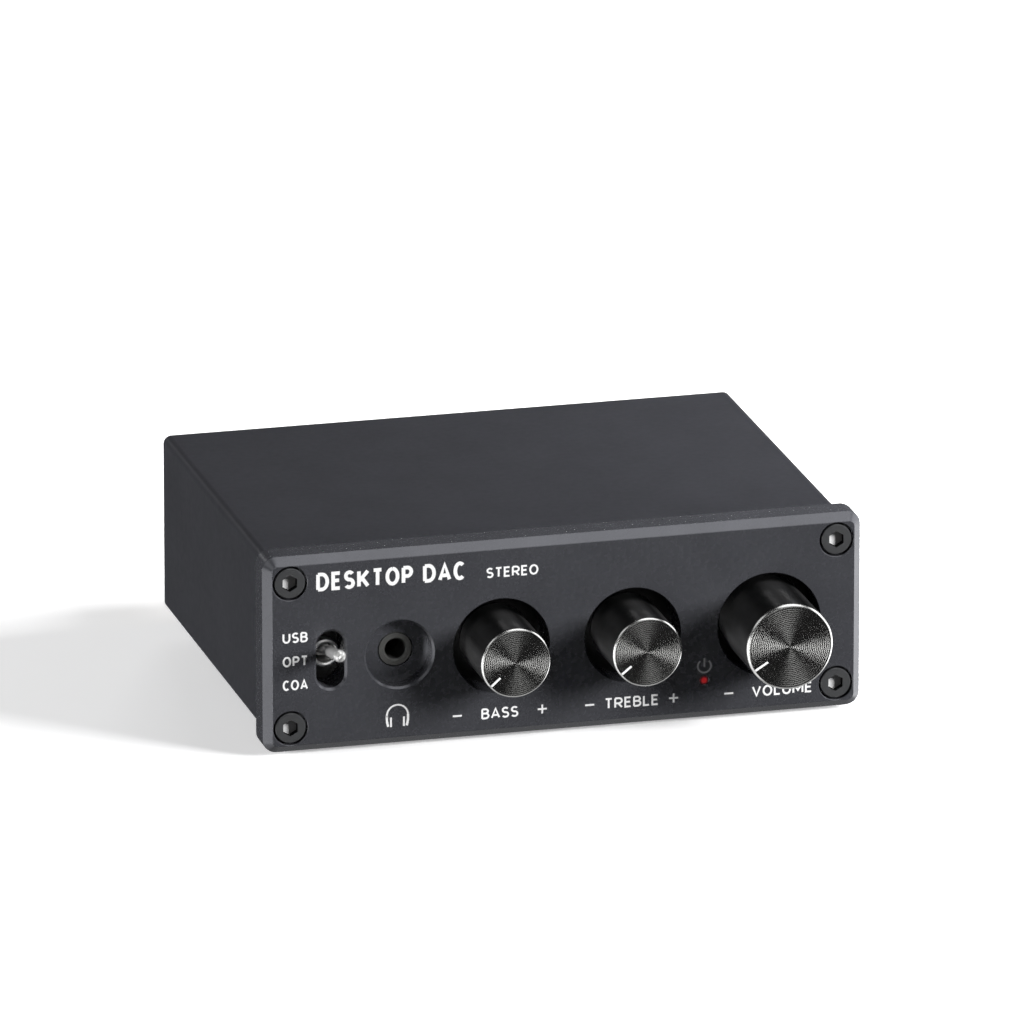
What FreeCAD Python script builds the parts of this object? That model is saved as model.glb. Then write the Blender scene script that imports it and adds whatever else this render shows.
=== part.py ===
"""A desktop DAC: sleeve case, thick front plate, three rotary controls and a source lever.

The origin is on the floor under the middle of the object, +Z is up, +X is to the right and the
front plate faces -Y. Sizes are millimetres, kept in the sheet "dims". Distances called "behind" are
measured from the front plate's face towards the rear, and heights called "above" are measured from
the middle of the case.
"""
import FreeCAD, Part
import os
import Sketcher

Vector = FreeCAD.Vector
SAME_PLACE = 1e-6
TURN_TO_Y = FreeCAD.Rotation(Vector(1, 0, 0), -90)

SIZES = {
    # front plate
    "plate_wide": 105.0,
    "plate_high": 34.7,
    "plate_thick": 6.1,
    "plate_bevel": 1.4,
    "plate_corner": 2.4,
    "plate_break": 0.16,
    # sleeve and rear plate, which share one outline
    "case_wide": 101.9,
    "case_high": 31.4,
    "case_wall": 1.6,
    "case_round": 1.4,
    "depth": 78.4,
    "rear_thick": 2.0,
    "rear_break": 0.3,
    # corner screw channels, with a slot in the lower two for the board's edge
    "channel_wide": 6.05,
    "channel_high": 5.8,
    "edge_slot": 0.95,
    "slot_play": 0.05,
    # M3 screws
    "screw_across": 47.95,
    "screw_above": 12.85,
    "shank_radius": 1.5,
    "head_radius": 2.7,
    "head_high": 3.0,
    "head_rim": 0.25,
    "head_sink": 0.1,
    "key_radius": 1.45,
    "key_deep": 1.6,
    "seat_radius": 3.02,
    "front_reach": 13.0,
    # countersunk screws of the rear plate: the cone narrows by its own depth
    "cone_radius": 2.4,
    "sunk_radius": 2.2,
    "sunk_low": 0.12,
    "sunk_key_radius": 1.15,
    "sunk_key_deep": 1.1,
    "rear_reach": 10.0,
    # rubber feet
    "foot_radius": 4.5,
    "foot_high": 2.5,
    "foot_bevel": 0.5,
    "foot_across": 38.0,
    "foot_front": 17.0,
    "foot_rear": 66.0,
    # one row of controls
    "row_above": -1.25,
    "bass_x": -11.05,
    "treble_x": 12.0,
    "volume_x": 36.1,
    "small_hole": 8.42,
    "large_hole": 9.08,
    "edge_break": 0.1,
    # knobs: reach is how far the face stands in front of the plate
    "small_radius": 6.1,
    "small_reach": 9.8,
    "small_rim": 0.36,
    "small_mark": 2.2,
    "volume_radius": 7.6,
    "volume_reach": 13.15,
    "volume_rim": 0.46,
    "volume_mark": 2.7,
    "knob_end": 5.0,
    "mark_wide": 0.55,
    "mark_deep": 0.2,
    "insert_radius": 4.0,
    "insert_long": 7.0,
    "insert_cap": 0.6,
    # potentiometers
    "shaft_radius": 3.0,
    "shaft_flat": 1.5,
    "shaft_play": 0.06,
    "shaft_end": 14.5,
    "bush_radius": 3.5,
    "bush_front": 7.4,
    "pot_front": 12.5,
    "pot_bore": 2.5,
    "pot_wide": 10.0,
    "pot_deep": 7.0,
    "volume_pot_wide": 13.0,
    "volume_pot_deep": 9.0,
    "switch_wide": 12.0,
    "switch_deep": 6.0,
    "switch_high": 13.0,
    "pot_above_row": 5.4,
    "housing_corner": 1.0,
    # liner behind the front plate
    "liner_wide": 89.0,
    "liner_high": 27.8,
    "liner_thick": 0.5,
    "liner_hole": 4.2,
    # source lever and its slot
    "lever_x": -40.9,
    "slot_half": 2.47,
    "slot_span": 5.2,
    "slot_bevel": 0.4,
    "toggle_face": 3.8,
    "toggle_radius": 2.4,
    "toggle_bore": 1.76,
    "toggle_cave": 1.9,
    "toggle_lip": 1.2,
    "toggle_front": 12.2,
    "toggle_wide": 7.8,
    "toggle_deep": 9.0,
    "toggle_above_row": 4.6,
    "pivot": 7.4,
    "ball_radius": 1.45,
    "neck_radius": 0.9,
    "tip_radius": 1.07,
    "tip_lip": 0.08,
    "lever_long": 14.75,
    "tail_long": 2.4,
    "lever_tilt": 11.0,
    # headphone socket in its recess
    "jack_x": -28.9,
    "recess_radius": 5.84,
    "recess_bevel": 0.35,
    "recess_deep": 3.0,
    "nose_radius": 3.0,
    "nose_play": 0.08,
    "nose_bevel": 0.15,
    "plug_radius": 1.8,
    "plug_bevel": 0.25,
    "nose_end": 8.0,
    "jack_front": 7.0,
    "jack_wide": 12.0,
    "jack_deep": 12.5,
    "jack_above_row": 5.6,
    "plug_end": 17.5,
    # pilot light
    "light_x": 24.65,
    "light_above": -10.4,
    "light_radius": 0.78,
    "light_play": 0.02,
    "light_bevel": 0.08,
    "lens_sink": 0.05,
    "lens_bevel": 0.1,
    "lamp_gap": 0.1,
    "lamp_wide": 3.2,
    "lamp_deep": 1.4,
    # circuit board
    "board_above": -11.2,
    "board_thick": 1.6,
    "board_wide": 91.4,
    "board_front": 9.2,
    "board_rear": 75.6,
    # phono sockets: reach is how far they stand behind the rear plate
    "line_left_x": -23.5,
    "line_right_x": -38.0,
    "coax_x": -8.0,
    "phono_above": 0.0,
    "phono_radius": 4.15,
    "phono_inner": 3.55,
    "phono_flange": 5.5,
    "flange_thick": 1.6,
    "nut_thick": 2.0,
    "socket_reach": 9.0,
    "phono_back": 8.0,
    "phono_base": 1.0,
    "phono_recess": 0.9,
    "contact_radius": 2.1,
    "contact_bore": 1.65,
    "contact_bevel": 0.2,
    # optical socket with a sprung flap
    "optical_x": 6.5,
    "optical_wide": 9.8,
    "optical_deep": 13.5,
    "optical_mouth": 6.2,
    "optical_frame": 2.4,
    "optical_cave_wide": 7.0,
    "optical_cave_deep": 8.8,
    "optical_cave_top": 1.5,
    "flap_wide": 6.6,
    "flap_thick": 0.6,
    "flap_gap": 0.15,
    "flap_barrel": 0.55,
    "flap_pin": 0.35,
    "flap_pin_long": 0.9,
    "pin_play": 0.06,
    "receiver_radius": 1.6,
    "receiver_long": 1.2,
    # USB type B socket
    "usb_x": 21.0,
    "usb_wide": 12.0,
    "usb_high": 10.8,
    "usb_deep": 15.2,
    "usb_reach": 0.8,
    "usb_wall": 0.4,
    "usb_sink": 0.3,
    "usb_mouth_wide": 8.45,
    "usb_mouth_high": 7.78,
    "usb_mouth_deep": 9.0,
    "usb_mouth_corner": 1.6,
    "tongue_wide": 5.6,
    "tongue_high": 3.2,
    "tongue_long": 8.2,
    # DC power socket
    "power_x": 36.5,
    "power_wide": 9.0,
    "power_high": 11.0,
    "power_deep": 13.5,
    "power_rise": 6.3,
    "power_bore": 3.1,
    "power_bore_deep": 9.5,
    "power_pin": 1.0,
    "power_pin_long": 8.8,
    "flush_reach": 0.3,
    "panel_play": 0.1,
    # larger parts on the board
    "chip_wide": 7.0,
    "chip_high": 1.4,
    "dac_chip_x": -4.0,
    "usb_chip_x": 20.0,
    "chip_behind": 44.0,
    "supply_x": -30.0,
    "supply_behind": 38.0,
    "supply_pitch": 12.0,
    "supply_radius": 4.0,
    "supply_high": 11.5,
    "supply_bevel": 0.5,
    # bevel on the rims of bushes and flanges
    "rim_bevel": 0.3,
    # how far a cutter passes the surface that it cuts
    "spare": 1.0,
}

FRONT = "(dims.volume_reach - dims.depth - dims.socket_reach) / 2"
REAR = f"({FRONT} + dims.depth)"
MIDDLE = "(dims.foot_high + dims.case_high / 2)"
ROW = f"({MIDDLE} + dims.row_above)"
BOARD_TOP = f"({MIDDLE} + dims.board_above)"
BOARD_BELOW_ROW = "dims.board_above - dims.row_above"

# Angle of each knob's mark from twelve o'clock, clockwise seen from the front.
MARK_ANGLES = {"bass": -131.0, "treble": -128.0, "volume": -121.5}

# Side (left is -1) and height (lower is -1) of each corner, top left first and then clockwise.
CORNERS = [(-1, 1), (1, 1), (1, -1), (-1, -1)]

doc = FreeCAD.newDocument("desktop_dac")
dims = doc.addObject("Spreadsheet::Sheet", "dims")
nodes = []


# ---------------------------------------------------------------------------------------------
# helpers
# ---------------------------------------------------------------------------------------------

def fill_sheet():
    """Write the driving dimensions into the sheet, one aliased cell each."""
    for row, (alias, value) in enumerate(SIZES.items(), start=1):
        dims.set(f"A{row}", alias)
        dims.set(f"B{row}", str(value))
        dims.setAlias(f"B{row}", alias)
    doc.recompute()


def node(label, thing):
    """Name a finished sub-part, so that it is checked and exported."""
    thing.Label = label
    nodes.append(thing)
    return thing


def bind(thing, **expressions):
    """Tie properties to expressions on the sheet; two underscores stand for a dot."""
    for name, expression in expressions.items():
        thing.setExpression(name.replace("__", "."), expression)


def move(thing, x, y, z):
    """Tie an object's position to expressions."""
    bind(thing, Placement__Base__x=x, Placement__Base__y=y, Placement__Base__z=z)


def box(wide, deep, high, x, y, z):
    """Box centred on x, starting at y and z."""
    thing = doc.addObject("Part::Box", "box")
    bind(thing, Length=wide, Width=deep, Height=high)
    move(thing, f"{x} - ({wide}) / 2", y, z)
    return thing


def rod(radius, length, x, y, z):
    """Cylinder whose axis runs from y towards the rear."""
    thing = doc.addObject("Part::Cylinder", "rod")
    thing.Placement = FreeCAD.Placement(Vector(), TURN_TO_Y)
    bind(thing, Radius=radius, Height=length)
    move(thing, x, y, z)
    return thing


def cut(base, *tools):
    """Base without the tools."""
    thing = doc.addObject("Part::Cut", "cut")
    thing.Base = base
    thing.Tool = tools[0] if len(tools) == 1 else fuse(*tools)
    return thing


def fuse(*things):
    """One solid from several that touch, or one cutter from several."""
    thing = doc.addObject("Part::MultiFuse", "fuse")
    thing.Shapes = list(things)
    return thing


def closed_sketch(body, plane, points):
    """Fully constrained polygon on one of a body's origin planes, from pairs of expressions."""
    sketch = body.newObject("Sketcher::SketchObject", "sketch")
    support = [item for item in body.Origin.OriginFeatures if item.Role == plane][0]
    sketch.AttachmentSupport = [(support, "")]
    sketch.MapMode = "FlatFace"
    places = [[float(sketch.evalExpression(text)) for text in point] for point in points]
    count = len(places)
    for index, place in enumerate(places):
        following = places[(index + 1) % count]
        sketch.addGeometry(Part.LineSegment(Vector(*place, 0), Vector(*following, 0)))
    for index in range(count):
        sketch.addConstraint(Sketcher.Constraint("Coincident", index, 2, (index + 1) % count, 1))
    for index, point in enumerate(points):
        for kind, text, value in zip(("DistanceX", "DistanceY"), point, places[index]):
            constraint = Sketcher.Constraint(kind, -1, 1, index, 1, value)
            number = sketch.addConstraint(constraint)
            sketch.setExpression(f"Constraints[{number}]", text)
    return sketch


def turned(points, x, y, z, upright=False):
    """Lathe-turned body from (radius, distance along the axis) pairs.

    The axis runs towards the rear, or upwards where upright is true.
    """
    body = doc.addObject("PartDesign::Body", "turned")
    sketch = closed_sketch(body, "XZ_Plane" if upright else "XY_Plane", points)
    revolution = body.newObject("PartDesign::Revolution", "revolution")
    revolution.Profile = sketch
    revolution.ReferenceAxis = (sketch, ["V_Axis"])
    revolution.Angle = 360
    move(body, x, y, z)
    return body


def extruded(points, deep, x, y, z):
    """Bar whose section, drawn in (x, z) pairs, runs from y towards the rear."""
    body = doc.addObject("PartDesign::Body", "extruded")
    pad = body.newObject("PartDesign::Pad", "pad")
    pad.Profile = closed_sketch(body, "XZ_Plane", points)
    pad.Reversed = True
    bind(pad, Length=deep)
    move(body, x, y, z)
    return body


def rounded_slab(wide, deep, high, corner, y):
    """Body centred on the case's middle line, its four long edges rounded."""
    body = doc.addObject("PartDesign::Body", "slab")
    block = body.newObject("PartDesign::AdditiveBox", "block")
    bind(block, Length=wide, Width=deep, Height=high)
    move(body, f"-({wide}) / 2", y, f"{MIDDLE} - ({high}) / 2")
    doc.recompute()
    fillet = body.newObject("PartDesign::Fillet", "fillet")
    fillet.Base = (block, edge_names(block, runs_along_y))
    bind(fillet, Radius=corner)
    doc.recompute()
    return body


def chamfer_edges(body, size, depth):
    """Cut back the edges that lie at a depth of a body."""
    base = body.Tip
    chamfer = body.newObject("PartDesign::Chamfer", "chamfer")
    chamfer.Base = (base, edge_names(base, lies_at(depth)))
    bind(chamfer, Size=size)
    doc.recompute()


def edge_names(feature, wanted):
    """Names of a feature's edges that pass a test."""
    return [f"Edge{number}" for number, edge in enumerate(feature.Shape.Edges, start=1) if wanted(edge)]


def runs_along_y(edge):
    start, end = (vertex.Point for vertex in edge.Vertexes)
    return abs(start.y - end.y) > SAME_PLACE


def lies_at(depth):
    """Test for edges that lie in the plane at a depth of their body."""
    return lambda edge: all(abs(vertex.Point.y - depth) < SAME_PLACE for vertex in edge.Vertexes)


def stepped(radius, bevel, start, end):
    """Profile of a round cutter that starts at a face and leaves a bevel on its edge."""
    return [
        ("0", f"{start} - dims.spare"),
        (f"{radius} + {bevel} + dims.spare", f"{start} - dims.spare"),
        (radius, f"{start} + {bevel}"),
        (radius, end),
        ("0", end),
    ]


def housing(wide, low, top, corner):
    """Section of a moulded housing with its two upper corners cut off."""
    half = f"({wide}) / 2"
    return [
        (f"-{half}", low),
        (half, low),
        (half, f"{top} - {corner}"),
        (f"{half} - {corner}", top),
        (f"-{half} + {corner}", top),
        (f"-{half}", f"{top} - {corner}"),
    ]


def hexagon(radius):
    """Section of a hexagon with a corner at the top."""
    side = f"{radius} * sin(60)"
    half = f"({radius}) / 2"
    return [
        ("0", radius),
        (side, half),
        (side, f"-{half}"),
        ("0", f"-{radius}"),
        (f"-{side}", f"-{half}"),
        (f"-{side}", half),
    ]


def behind(distance):
    """Position of a distance behind the front plate's face."""
    return f"{FRONT} + {distance}"


def screw_places():
    """Positions of the four corner screws, top left first and then clockwise."""
    return [
        (f"{side} * dims.screw_across", f"{MIDDLE} + {up} * dims.screw_above") for side, up in CORNERS
    ]


# ---------------------------------------------------------------------------------------------
# chassis
# ---------------------------------------------------------------------------------------------

def front_plate_cutters():
    """Every opening of the front plate."""
    through = "dims.plate_thick + dims.spare"
    openings = (
        ("dims.bass_x", "dims.small_hole"),
        ("dims.treble_x", "dims.small_hole"),
        ("dims.volume_x", "dims.large_hole"),
    )
    tools = [
        turned(stepped(radius, "dims.edge_break", "0", through), x, FRONT, ROW)
        for x, radius in openings
    ]
    recess = stepped("dims.recess_radius", "dims.recess_bevel", "0", "dims.recess_deep")
    tools.append(turned(recess, "dims.jack_x", FRONT, ROW))
    nose_hole = "dims.nose_radius + dims.nose_play"
    tools.append(rod(nose_hole, through, "dims.jack_x", FRONT, ROW))
    light = stepped("dims.light_radius + dims.light_play", "dims.light_bevel", "0", through)
    tools.append(turned(light, "dims.light_x", FRONT, f"{MIDDLE} + dims.light_above"))
    seat = stepped("dims.seat_radius", "dims.edge_break", "0", "dims.head_sink + dims.head_high")
    for x, z in screw_places():
        tools.append(turned(seat, x, FRONT, z))
        tools.append(rod("dims.shank_radius", through, x, FRONT, z))
    return tools + lever_slot_cutters(through)


def lever_slot_cutters(through):
    """Upright slot with round ends and a bevelled edge."""
    end = stepped("dims.slot_half", "dims.slot_bevel", "0", through)
    tools = [
        turned(end, "dims.lever_x", FRONT, f"{ROW} + dims.slot_span / 2"),
        turned(end, "dims.lever_x", FRONT, f"{ROW} - dims.slot_span / 2"),
    ]
    wide = "dims.slot_half + dims.slot_bevel + dims.spare"
    waist = [
        (f"-({wide})", "-dims.spare"),
        (wide, "-dims.spare"),
        ("dims.slot_half", "dims.slot_bevel"),
        ("dims.slot_half", through),
        ("-dims.slot_half", through),
        ("-dims.slot_half", "dims.slot_bevel"),
    ]
    body = doc.addObject("PartDesign::Body", "waist")
    pad = body.newObject("PartDesign::Pad", "pad")
    pad.Profile = closed_sketch(body, "XY_Plane", waist)
    bind(pad, Length="dims.slot_span")
    move(body, "dims.lever_x", FRONT, f"{ROW} - dims.slot_span / 2")
    return tools + [body]


def make_front_plate():
    body = rounded_slab(
        "dims.plate_wide", "dims.plate_thick", "dims.plate_high", "dims.plate_corner", FRONT
    )
    chamfer_edges(body, "dims.plate_bevel", 0.0)
    bevelled = body.Tip
    softened = body.newObject("PartDesign::Fillet", "softened")
    names = [
        name
        for depth in (0.0, SIZES["plate_bevel"], SIZES["plate_thick"])
        for name in edge_names(bevelled, lies_at(depth))
    ]
    softened.Base = (bevelled, names)
    bind(softened, Radius="dims.plate_break")
    node("front_plate", cut(body, *front_plate_cutters()))


def make_case_sleeve():
    """Extruded tube with a screw channel in each corner, and board slots in the lower two."""
    start = behind("dims.plate_thick")
    long = "dims.depth - dims.rear_thick - dims.plate_thick"
    outside = rounded_slab("dims.case_wide", long, "dims.case_high", "dims.case_round", start)
    early = f"{start} - dims.spare"
    through = f"{long} + 2 * dims.spare"
    hollow = box(
        "dims.case_wide - 2 * dims.case_wall", through, "dims.case_high - 2 * dims.case_wall",
        "0", early, f"{MIDDLE} - dims.case_high / 2 + dims.case_wall",
    )
    inset = "dims.case_wall / 2"
    wide = f"dims.channel_wide - {inset}"
    high = f"dims.channel_high - {inset}"
    across = f"(dims.case_wide / 2 - (dims.channel_wide + {inset}) / 2)"
    above = f"(dims.case_high / 2 - (dims.channel_high + {inset}) / 2)"
    channels = [
        box(wide, long, high, f"{side} * {across}", start, f"{MIDDLE} + {up} * {above} - ({high}) / 2")
        for side, up in CORNERS
    ]
    bores = [rod("dims.shank_radius", through, x, early, z) for x, z in screw_places()]
    slots = box(
        "dims.case_wide - 2 * dims.channel_wide + 2 * dims.edge_slot", through,
        "dims.board_thick + 2 * dims.slot_play", "0", early,
        f"{BOARD_TOP} - dims.board_thick - dims.slot_play",
    )
    tube = cut(outside, hollow)
    node("case_sleeve", cut(fuse(tube, *channels), slots, *bores))


def make_rear_plate():
    start = f"{REAR} - dims.rear_thick"
    slab = rounded_slab("dims.case_wide", "dims.rear_thick", "dims.case_high", "dims.case_round", start)
    chamfer_edges(slab, "dims.rear_break", SIZES["rear_thick"])
    early = f"{start} - dims.spare"
    through = "dims.rear_thick + 2 * dims.spare"
    tools = [
        rod("dims.phono_radius", through, x, early, f"{MIDDLE} + dims.phono_above")
        for x in ("dims.line_left_x", "dims.line_right_x", "dims.coax_x")
    ]
    for x, wide, high in (
        ("dims.optical_x", "dims.optical_wide", "dims.optical_wide"),
        ("dims.usb_x", "dims.usb_wide", "dims.usb_high"),
        ("dims.power_x", "dims.power_wide", "dims.power_high"),
    ):
        hole_wide = f"{wide} + 2 * dims.panel_play"
        hole_high = f"{high} + 2 * dims.panel_play"
        tools.append(box(hole_wide, through, hole_high, x, early, f"{BOARD_TOP} - dims.panel_play"))
    cone = [
        ("0", "dims.spare"),
        ("dims.cone_radius + dims.spare", "dims.spare"),
        ("dims.shank_radius", "dims.shank_radius - dims.cone_radius"),
        ("0", "dims.shank_radius - dims.cone_radius"),
    ]
    for x, z in screw_places():
        tools.append(rod("dims.shank_radius", through, x, early, z))
        tools.append(turned(cone, x, REAR, z))
    node("rear_plate", cut(slab, *tools))


def make_front_screws():
    """Socket-head cap screws, sunk in their seats."""
    profile = [
        ("0", "0"),
        ("dims.head_radius - dims.head_rim", "0"),
        ("dims.head_radius", "dims.head_rim"),
        ("dims.head_radius", "dims.head_high"),
        ("dims.shank_radius", "dims.head_high"),
        ("dims.shank_radius", "dims.front_reach - dims.head_sink"),
        ("0", "dims.front_reach - dims.head_sink"),
    ]
    start = behind("dims.head_sink")
    for number, (x, z) in enumerate(screw_places(), start=1):
        screw = turned(profile, x, start, z)
        early = f"{start} - dims.spare"
        key = extruded(hexagon("dims.key_radius"), "dims.key_deep + dims.spare", x, early, z)
        node(f"front_screw_{number}", cut(screw, key))


def make_rear_screws():
    """Countersunk screws, a little below the rear plate's surface."""
    profile = [
        ("0", "-dims.rear_reach"),
        ("dims.shank_radius", "-dims.rear_reach"),
        ("dims.shank_radius", "dims.shank_radius - dims.cone_radius"),
        ("dims.sunk_radius", "dims.sunk_radius - dims.cone_radius"),
        ("dims.sunk_radius", "-dims.sunk_low"),
        ("0", "-dims.sunk_low"),
    ]
    key_start = f"{REAR} - dims.sunk_low - dims.sunk_key_deep"
    for number, (x, z) in enumerate(screw_places(), start=1):
        screw = turned(profile, x, REAR, z)
        key = extruded(
            hexagon("dims.sunk_key_radius"), "dims.sunk_key_deep + dims.spare", x, key_start, z
        )
        node(f"rear_screw_{number}", cut(screw, key))


def make_feet():
    profile = [
        ("0", "0"),
        ("dims.foot_radius - dims.foot_bevel", "0"),
        ("dims.foot_radius", "dims.foot_bevel"),
        ("dims.foot_radius", "dims.foot_high"),
        ("0", "dims.foot_high"),
    ]
    places = [
        (side, place)
        for place in ("dims.foot_front", "dims.foot_rear")
        for side in ("-dims.foot_across", "dims.foot_across")
    ]
    for number, (x, place) in enumerate(places, start=1):
        node(f"foot_{number}", turned(profile, x, behind(place), "0", upright=True))


def make_front_liner():
    """Thin sheet that closes the front plate's openings from behind."""
    start = behind("dims.plate_thick")
    sheet = box(
        "dims.liner_wide", "dims.liner_thick", "dims.liner_high", "0", start,
        f"{MIDDLE} - dims.liner_high / 2",
    )
    early = f"{start} - dims.spare"
    through = "dims.liner_thick + 2 * dims.spare"
    holes = [
        ("dims.bass_x", "dims.liner_hole", ROW),
        ("dims.treble_x", "dims.liner_hole", ROW),
        ("dims.volume_x", "dims.liner_hole", ROW),
        ("dims.lever_x", "dims.toggle_radius + dims.nose_play", ROW),
        ("dims.jack_x", "dims.nose_radius + dims.nose_play", ROW),
        ("dims.light_x", "dims.light_radius + dims.nose_play", f"{MIDDLE} + dims.light_above"),
    ]
    tools = [rod(radius, through, x, early, z) for x, radius, z in holes]
    node("front_liner", cut(sheet, *tools))


def make_main_board():
    board = box(
        "dims.board_wide", "dims.board_rear - dims.board_front", "dims.board_thick", "0",
        behind("dims.board_front"), f"{BOARD_TOP} - dims.board_thick",
    )
    node("main_board", board)


# ---------------------------------------------------------------------------------------------
# rotary controls
# ---------------------------------------------------------------------------------------------

def make_knob(name, x, radius, reach, rim, mark):
    """Turned knob with a bright rim, a bore for its insert and an engraved mark on its face."""
    start = f"-{reach}"
    seat = "dims.knob_end - dims.insert_long"
    profile = [
        ("0", start),
        (f"{radius} - {rim}", start),
        (radius, f"{start} + {rim}"),
        (radius, "dims.knob_end"),
        ("dims.insert_radius", "dims.knob_end"),
        ("dims.insert_radius", seat),
        ("0", seat),
    ]
    knob = turned(profile, x, FRONT, ROW)
    half = "dims.mark_wide / 2"
    inner = f"{radius} - {rim} - {mark}"
    outer = f"{radius} + dims.spare"
    groove = extruded(
        [(f"-{half}", inner), (half, inner), (half, outer), (f"-{half}", outer)],
        "dims.spare + dims.mark_deep", x, f"{FRONT} - {reach} - dims.spare", ROW,
    )
    turn = FreeCAD.Rotation(Vector(0, 1, 0), MARK_ANGLES[name])
    groove.Placement = FreeCAD.Placement(groove.Placement.Base, turn)
    node(f"{name}_knob", cut(knob, groove))


def make_shaft(x):
    """Round shaft with a flat along the part that the insert grips."""
    grip_start = behind("dims.knob_end - dims.insert_long + dims.insert_cap")
    long = "dims.shaft_end - dims.knob_end + dims.insert_long - dims.insert_cap"
    flat = box(
        "2 * dims.shaft_radius", "dims.insert_long", "dims.shaft_radius", x,
        f"{grip_start} - dims.insert_cap", f"{ROW} + dims.shaft_flat",
    )
    return cut(rod("dims.shaft_radius", long, x, grip_start, ROW), flat)


def make_volume_switch():
    """Power switch that clicks at the low end of the travel, on the back of the volume potentiometer."""
    can = box(
        "dims.switch_wide", "dims.switch_deep", "dims.switch_high", "dims.volume_x",
        behind("dims.pot_front + dims.volume_pot_deep"), BOARD_TOP,
    )
    node("volume_switch", can)


def make_control(name, x, radius, reach, rim, mark, pot_wide, pot_deep):
    """One knob with its insert, shaft, bush and potentiometer."""
    make_knob(name, x, radius, reach, rim, mark)
    shaft = make_shaft(x)
    core = rod(
        "dims.insert_radius", "dims.insert_long", x, behind("dims.knob_end - dims.insert_long"), ROW
    )
    node(f"{name}_knob_insert", cut(core, shaft))
    node(f"{name}_shaft", shaft)
    bore = "dims.shaft_radius + dims.shaft_play"
    bush = [
        (bore, "dims.bush_front"),
        ("dims.bush_radius - dims.rim_bevel", "dims.bush_front"),
        ("dims.bush_radius", "dims.bush_front + dims.rim_bevel"),
        ("dims.bush_radius", "dims.pot_front"),
        (bore, "dims.pot_front"),
    ]
    node(f"{name}_bush", turned(bush, x, FRONT, ROW))
    section = housing(pot_wide, BOARD_BELOW_ROW, "dims.pot_above_row", "dims.housing_corner")
    block = extruded(section, pot_deep, x, behind("dims.pot_front"), ROW)
    hole = rod(
        bore, "dims.pot_bore + dims.spare", x, behind("dims.pot_front - dims.spare"), ROW
    )
    node(f"{name}_pot_body", cut(block, hole))


# ---------------------------------------------------------------------------------------------
# source lever, headphone socket and pilot light
# ---------------------------------------------------------------------------------------------

def make_source_switch():
    """Lever with a ball pivot in a threaded bush, in front of the switch's housing."""
    bush = [
        ("dims.toggle_bore", "dims.toggle_face"),
        ("dims.toggle_radius - dims.rim_bevel", "dims.toggle_face"),
        ("dims.toggle_radius", "dims.toggle_face + dims.rim_bevel"),
        ("dims.toggle_radius", "dims.toggle_front"),
        ("dims.toggle_cave", "dims.toggle_front"),
        ("dims.toggle_cave", "dims.toggle_face + dims.toggle_lip"),
        ("dims.toggle_bore", "dims.toggle_face + dims.toggle_lip"),
    ]
    node("toggle_bush", turned(bush, "dims.lever_x", FRONT, ROW))
    section = housing("dims.toggle_wide", BOARD_BELOW_ROW, "dims.toggle_above_row", "dims.housing_corner")
    body = extruded(section, "dims.toggle_deep", "dims.lever_x", behind("dims.toggle_front"), ROW)
    node("toggle_body", body)
    stick = [
        ("0", "dims.tip_radius - dims.lever_long"),
        ("dims.tip_radius - dims.tip_lip", "dims.tip_radius - dims.lever_long"),
        ("dims.neck_radius", "0"),
        ("dims.neck_radius", "dims.tail_long"),
        ("0", "dims.tail_long"),
    ]
    lever = turned(stick, "dims.lever_x", behind("dims.pivot"), ROW)
    lever.Placement = FreeCAD.Placement(Vector(), FreeCAD.Rotation(Vector(1, 0, 0), -SIZES["lever_tilt"]))
    tip = lever.newObject("PartDesign::AdditiveSphere", "tip")
    bind(tip, Radius="dims.tip_radius", Placement__Base__y="dims.tip_radius - dims.lever_long")
    ball = lever.newObject("PartDesign::AdditiveSphere", "ball")
    bind(ball, Radius="dims.ball_radius")
    node("toggle_lever", lever)


def make_headphone_socket():
    ferrule = [
        ("dims.plug_radius + dims.plug_bevel", "dims.recess_deep"),
        ("dims.nose_radius - dims.nose_bevel", "dims.recess_deep"),
        ("dims.nose_radius", "dims.recess_deep + dims.nose_bevel"),
        ("dims.nose_radius", "dims.nose_end"),
        ("dims.plug_radius", "dims.nose_end"),
        ("dims.plug_radius", "dims.recess_deep + dims.plug_bevel"),
    ]
    node("headphone_ferrule", turned(ferrule, "dims.jack_x", FRONT, ROW))
    section = housing("dims.jack_wide", BOARD_BELOW_ROW, "dims.jack_above_row", "dims.housing_corner")
    block = extruded(section, "dims.jack_deep", "dims.jack_x", behind("dims.jack_front"), ROW)
    seat = rod(
        "dims.nose_radius", "dims.nose_end - dims.jack_front + dims.spare", "dims.jack_x",
        behind("dims.jack_front - dims.spare"), ROW,
    )
    bore = rod(
        "dims.plug_radius", "dims.plug_end - dims.jack_front + dims.spare", "dims.jack_x",
        behind("dims.jack_front - dims.spare"), ROW,
    )
    node("headphone_jack", cut(block, seat, bore))


def make_pilot_light():
    light_z = f"{MIDDLE} + dims.light_above"
    lens = [
        ("0", "dims.lens_sink"),
        ("dims.light_radius - dims.lens_bevel", "dims.lens_sink"),
        ("dims.light_radius", "dims.lens_sink + dims.lens_bevel"),
        ("dims.light_radius", "dims.board_front"),
        ("0", "dims.board_front"),
    ]
    node("led_lens", turned(lens, "dims.light_x", FRONT, light_z))
    lamp = box(
        "dims.lamp_wide", "dims.lamp_deep", "dims.lamp_deep", "dims.light_x",
        behind("dims.board_front + dims.lamp_gap"), BOARD_TOP,
    )
    node("power_led", lamp)


# ---------------------------------------------------------------------------------------------
# rear sockets
# ---------------------------------------------------------------------------------------------

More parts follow.
